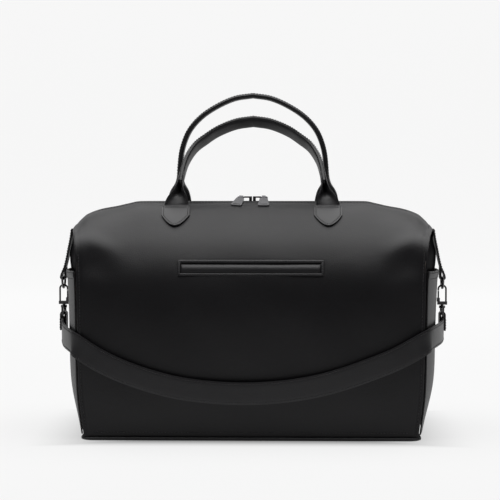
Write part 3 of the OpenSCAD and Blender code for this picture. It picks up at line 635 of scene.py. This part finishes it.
def grip(prefix, node, core, body, H, py, pz, lean):
    cl, sl_ = math.cos(math.radians(lean)), math.sin(math.radians(lean))
    back = py > 0
    def place(x, y, h):
        # arch plane leaned back by lean
        return np.array([x, py + y * cl + h * sl_, pz + h * cl - y * sl_])
    def hp(f):
        if f <= 1:
            p = cr(H, f); return np.array([-p[0], p[1]])
        return cr(H, 2 - f)
    def sect(f, w, th, K, crownk=0.6):
        p = hp(f); d = unit(hp(min(2, f + 0.004)) - hp(max(0, f - 0.004))); nr = np.array([-d[1], d[0]])
        out = []
        for q in range(K):
            a = 2 * math.pi * q / K
            cx = math.copysign(abs(math.cos(a)) ** 0.6, math.cos(a)); sx = math.copysign(abs(math.sin(a)) ** 0.72, math.sin(a))
            r = th * sx
            if sx > 0: r += crownk * (1 - cx * cx)
            # edge seam: a fine groove along each thin side
            ww = cx * w * (1 - 0.07 * math.exp(-(sx / 0.16) ** 2))
            pos = p + nr * r
            out.append(place(pos[0], ww, pos[1]))
        return np.array(out)
    K = 32; rings = []
    S = [[], []]
    n = 220; F0 = 0.23
    for i in range(n + 1):
        f = F0 + (2 - 2 * F0) * i / n
        k = min(f, 2 - f) * 22; w = hwS(k)
        rings.append(sect(f, w, 3.3, K, 0.7 * min(1, max(0, (k - 5) / 3))))
        if k > 5:
            p = hp(f); d = unit(hp(min(2, f + 0.004)) - hp(max(0, f - 0.004))); nr = np.array([-d[1], d[0]])
            for m_, sd in enumerate((-1, 1)):
                for sgn in (1,):
                    q0 = p + nr * (3.3 + 0.05); q1 = p + nr * 9
                    a0 = place(q0[0], sd * (w - 2.4), q0[1]); a1 = place(q1[0], sd * (w - 2.4), q1[1])
                    S[m_].append((a0, unit(a1 - a0)))
    o = loft(prefix + "_handle_leather", rings, [LEA_LIT_TRIM]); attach(o, body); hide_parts(node, core)
    o = stitches(prefix + "_handle_stitching", [(np.array([a for a, _ in q]), np.array([b for _, b in q])) for q in S], THR, pitch=4.0, length=2.8, r=0.36)
    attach(o, body)
    # the flare: the flat strap leaves its pad and folds lengthwise, edges outwards, into the narrow neck
    og = 1 if back else -1
    if back:
        TB = np.array([[-4.5, 35.5, 1.2, -1.2], [0, 34.2, 3, -2.5], [5, 32, 6, -4.2], [12, 28.3, 9.5, -6], [17.6, 23.3, 12.5, -7], [24.6, 14.6, 15.6, -7.9], [31, 10.4, 17, -8.4], [38, 8.8, 18.0, -8.8], [46, 7.6, 18.6, -9.2]])
    else:
        TB = np.array([[-2.5, 34.2, 1.5, 5.2], [1, 32.6, 2.8, 4.6], [5, 30.2, 4.4, 4.0], [9, 26.0, 6.2, 3.6], [13, 20.6, 8.4, 4.0], [17.5, 14.8, 11.2, 5.2], [22, 11.6, 14.2, 6.8], [28, 9.4, 16.8, 8.2], [37, 8.2, 18.2, 8.9], [46, 7.4, 18.6, 9.2]])
    QS = np.linspace(-1, 1, 19)
    def ringof(cen):
        d = np.gradient(cen, axis=0); d = d / np.linalg.norm(d, axis=1)[:, None]
        return np.stack([-d[:, 1], d[:, 0]], 1)
    for side, sx_ in (("left", -1), ("right", 1)):
        def flare(h_, W_, D_, ys, th=2.3):
            pc = float(np.interp(h_, H[:, 1], H[:, 0]))
            k_ = min(1, D_ / 16.0); ea = 1 + 1.7 * k_ ** 1.5; eb = 2.2 - 0.95 * k_
            cen = np.array([[(W_ / 2 - 0.4 * th) * math.copysign(1 - (1 - abs(q)) ** ea, q), ys + og * D_ * abs(q) ** eb] for q in QS])
            nr = ringof(cen)
            tt = np.array([th * (0.5 - 0.12 * abs(q) ** 6) for q in QS])[:, None]
            o1 = cen + nr * tt; o2 = (cen - nr * tt)[::-1]
            return np.array([place(sx_ * pc + p_[0], p_[1], h_) for p_ in np.concatenate([o1, o2])])
        def onpad(z_, W_, off, th):
            t = tz(z_); out = []
            for sd, qq in ((1, QS), (-1, QS[::-1])):
                for q in qq:
                    x = sx_ * 102.0 + W_ / 2 * q; u = x / wt(t); c = pf(u, t, 0); nn = n2(u, t)
                    # the first wall faces the side that the fold opens to
                    v = c + np.array([0, -nn[0], -nn[1]]) * (off + sd * og * -1 * th / 2 * (1 if not back else -1))
                    out.append(v * [1, -1, 1] if back else v)
            return np.array(out)
        # wall order check: the first wall of a flat section must be the outer one on both handles
        f0 = flare(TB[0][0], TB[0][1], TB[0][2], TB[0][3]); m1 = f0[9]; m2 = f0[28]
        outward = np.array([0, -0.35 if not back else 0.35, 0.94])
        first_out = float(np.dot(m1 - m2, outward)) > 0
        seq = []
        for (z_, W_, off, th) in ((299.6, 34.0, 1.0, 1.2), (301.6, 35.8, 1.5, 2.0)):
            r_ = onpad(z_, W_, off, th)
            if (float(np.dot(r_[9] - r_[28], outward)) > 0) != first_out: r_ = np.concatenate([r_[19:][::-1], r_[:19][::-1]])
            seq.append(r_)
        for row in TB: seq.append(flare(*row))
        S3 = np.array(seq); dense = [cr(S3, k_ / 84) for k_ in range(85)]
        nk = loft(prefix + "_" + side + "_neck", dense, [LEA_LIT_TRIM])
        ln = []
        for qi in (1, 17):
            pts, nrm = [], []
            for k_ in range(10, 62):
                r = dense[k_]; a_ = r[qi] if first_out else r[37 - qi]; b_ = r[37 - qi] if first_out else r[qi]
                a_, b_ = (a_, b_)
                pts.append(a_ + (r[9] - r[qi]) * 0.04); nrm.append(unit(a_ - b_))
            ln.append((np.array(pts), np.array(nrm)))
        sk = stitches(prefix + "_" + side + "_neck_stitching", ln, THR, pitch=3.4, length=2.5, r=0.36)
        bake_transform(nk)
        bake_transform(sk)

grip("front", "front_handle", "front_handle_core", "front_grip", HF, -33.3, 309.0, 40)
grip("back", "back_handle", "back_handle_core", "back_grip", HB, 33.3, 309.0, 0)

# pads
pt0, pt1 = tz(277.5), tz(301.8)
def pw(v):
    return 18.6 * min(1, max(0, v) / 0.5) ** 0.53
for back, nm in ((False, "front"), (True, "back")):
    lines = []
    for s in (-1, 1):
        n, m = 28, 44
        A = np.zeros((n + 1, m + 1, 3)); B = np.zeros_like(A)
        for i in range(n + 1):
            for j in range(m + 1):
                v = (j / m) ** 1.25; q = 2 * i / n - 1
                x = s * 102 + max(0.4, pw(v)) * q; t = pt0 + (pt1 - pt0) * v
                dome = 0.45 * (1 - abs(q) ** 3)
                A[i, j] = px(x, t, -1.9 - dome); B[i, j] = px(x, t, -0.1)
        if back: A[:, :, 1] *= -1; B[:, :, 1] *= -1
        o = slab(nm + "_pad_" + ("left" if s < 0 else "right"), A, B, [LEA_LIT_TRIM], bevel=0.7, seg=3)
        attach(o, "bag")
        pts = []
        for v in np.linspace(1, 0.075, 34): pts.append((s * 102 - max(0, pw(v) - 2.4 - 2.0 * max(0, 1 - v / 0.4)), pt0 + (pt1 - pt0) * v))
        for v in np.linspace(0.075, 1, 34): pts.append((s * 102 + max(0, pw(v) - 2.4 - 2.0 * max(0, 1 - v / 0.4)), pt0 + (pt1 - pt0) * v))
        lines.append(pline(pts, -2.1, back))
        lines.append(pline([(s * 102 + q, pt0 + (pt1 - pt0) * 0.93) for q in np.linspace(-15, 15, 12)], -2.2, back))
    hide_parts(nm + "_handle_pads")
    o = stitches(nm + "_pad_stitching", lines, THR, pitch=3.2, length=2.4, r=0.4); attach(o, "bag")

# ------------------------------------------------------------------ hardware keeps its CAD solids
for nme in ("left_d_ring", "right_d_ring", "left_hook", "right_hook", "left_gate", "right_gate", "left_gate_pin", "right_gate_pin",
            "left_swivel_eye", "right_swivel_eye", "zip_slider_left", "zip_slider_right", "zip_puller_left", "zip_puller_right", "zip_end_stops"):
    o = N[nme]
    o.data.materials.clear(); o.data.materials.append(METP if "puller" in nme else MET)
    if nme.startswith(("zip_", "left_swivel", "right_swivel", "left_hook", "right_hook")):
        b = o.modifiers.new("edge", "BEVEL"); b.width = 0.00035; b.segments = 2; b.limit_method = "ANGLE"; b.angle_limit = math.radians(40)

# ------------------------------------------------------------------ stage
EMIT = 0.735
def paper(name):
    m = D.materials.new(name); nt, p = nodes_of(m)
    tc = nt.nodes.new("ShaderNodeTexCoord")
    n = nt.nodes.new("ShaderNodeTexNoise"); n.inputs["Scale"].default_value = 400; lk(nt, tc.outputs["Object"], n.inputs["Vector"])
    b = nt.nodes.new("ShaderNodeBump"); b.inputs["Strength"].default_value = 0.03; b.inputs["Distance"].default_value = 0.0005
    lk(nt, n.outputs["Fac"], b.inputs["Height"]); lk(nt, b.outputs["Normal"], p.inputs["Normal"])
    p.inputs["Base Color"].default_value = (0.16, 0.16, 0.16, 1)
    p.inputs["Roughness"].default_value = 0.95
    p.inputs["Specular IOR Level"].default_value = 0.0
    p.inputs["Emission Color"].default_value = (1, 1, 1, 1)
    # the paper glows evenly behind the bag; round and under the bag its glow is cut to a quarter as a painted shadow,
    # and it does not glow at all near the camera
    sx = nt.nodes.new("ShaderNodeSeparateXYZ"); lk(nt, tc.outputs["Object"], sx.inputs[0])
    def ramp(sock, f0, f1, t0, t1):
        q = nt.nodes.new("ShaderNodeMapRange"); q.interpolation_type = "SMOOTHSTEP"
        q.inputs["From Min"].default_value = f0; q.inputs["From Max"].default_value = f1
        q.inputs["To Min"].default_value = t0; q.inputs["To Max"].default_value = t1
        lk(nt, sock, q.inputs["Value"]); return q.outputs["Result"]
    def mul(a_, b_, op="MULTIPLY"):
        q = nt.nodes.new("ShaderNodeMath"); q.operation = op; lk(nt, a_, q.inputs[0]); lk(nt, b_, q.inputs[1]); return q.outputs[0]
    near = ramp(sx.outputs["Y"], -0.85, -0.52, 0.03, EMIT)
    lk(nt, ramp(sx.outputs["Y"], -0.9, -0.55, 0.5, 0.16), p.inputs["Base Color"])
    far = ramp(sx.outputs["Y"], 0.2, 2.6, 0.0, 0.14)
    ax = nt.nodes.new("ShaderNodeMath"); ax.operation = "ABSOLUTE"; lk(nt, sx.outputs["X"], ax.inputs[0])
    ay = nt.nodes.new("ShaderNodeMath"); ay.operation = "ABSOLUTE"; lk(nt, sx.outputs["Y"], ay.inputs[0])
    # painted shadow mask: 0 round the bag's footprint, where the paper's glow is cut to a quarter, rising to 1 further
    # out
    dx_ = ramp(ax.outputs[0], 0.10, 0.30, 0.0, 1.0); dy_ = ramp(ay.outputs[0], 0.105, 0.165, 0.0, 1.0)
    painted_shadow_mask = mul(dx_, dy_, "MAXIMUM")
    q = nt.nodes.new("ShaderNodeMapRange"); q.inputs["To Min"].default_value = 0.25; q.inputs["To Max"].default_value = 1.0
    lk(nt, painted_shadow_mask, q.inputs["Value"])
    lk(nt, mul(mul(near, far, "ADD"), q.outputs["Result"]), p.inputs["Emission Strength"])
    return m

FL = paper("backdrop_paper")
prof = [(y, 0) for y in np.linspace(-3.5, 4.0, 16)] + [(4.0 + 1.5 * math.sin(a), 1.5 - 1.5 * math.cos(a)) for a in np.linspace(0.1, math.pi / 2, 10)] + [(5.5, 6.0)]
V = []; F = []
for (y, z) in prof:
    V += [(-5000, y * 1000, z * 1000 - 0.05), (5000, y * 1000, z * 1000 - 0.05)]
for i in range(len(prof) - 1): F.append((2 * i, 2 * i + 1, 2 * i + 3, 2 * i + 2))
fl = obj_from("paper_sweep", V, F, [FL])

w = D.worlds.new("world"); sc.world = w; w.use_nodes = True
bg = w.node_tree.nodes["Background"]; bg.inputs[0].default_value = (1, 1, 1, 1); bg.inputs[1].default_value = 0.05

def area(name, loc, target, sx, sy, power):
    l = D.lights.new(name, "AREA"); l.shape = "RECTANGLE"; l.size = sx; l.size_y = sy; l.energy = power
    o = D.objects.new(name, l); sc.collection.objects.link(o); o.location = loc
    o.rotation_euler = (Vector(target) - Vector(loc)).to_track_quat("-Z", "Y").to_euler()
    return o

area("top_soft", (0.0, 0.1, 2.0), (0, 0.05, 0), 2.6, 2.4, 72)
sc.view_settings.view_transform = "Standard"
sc.view_settings.look = "None"
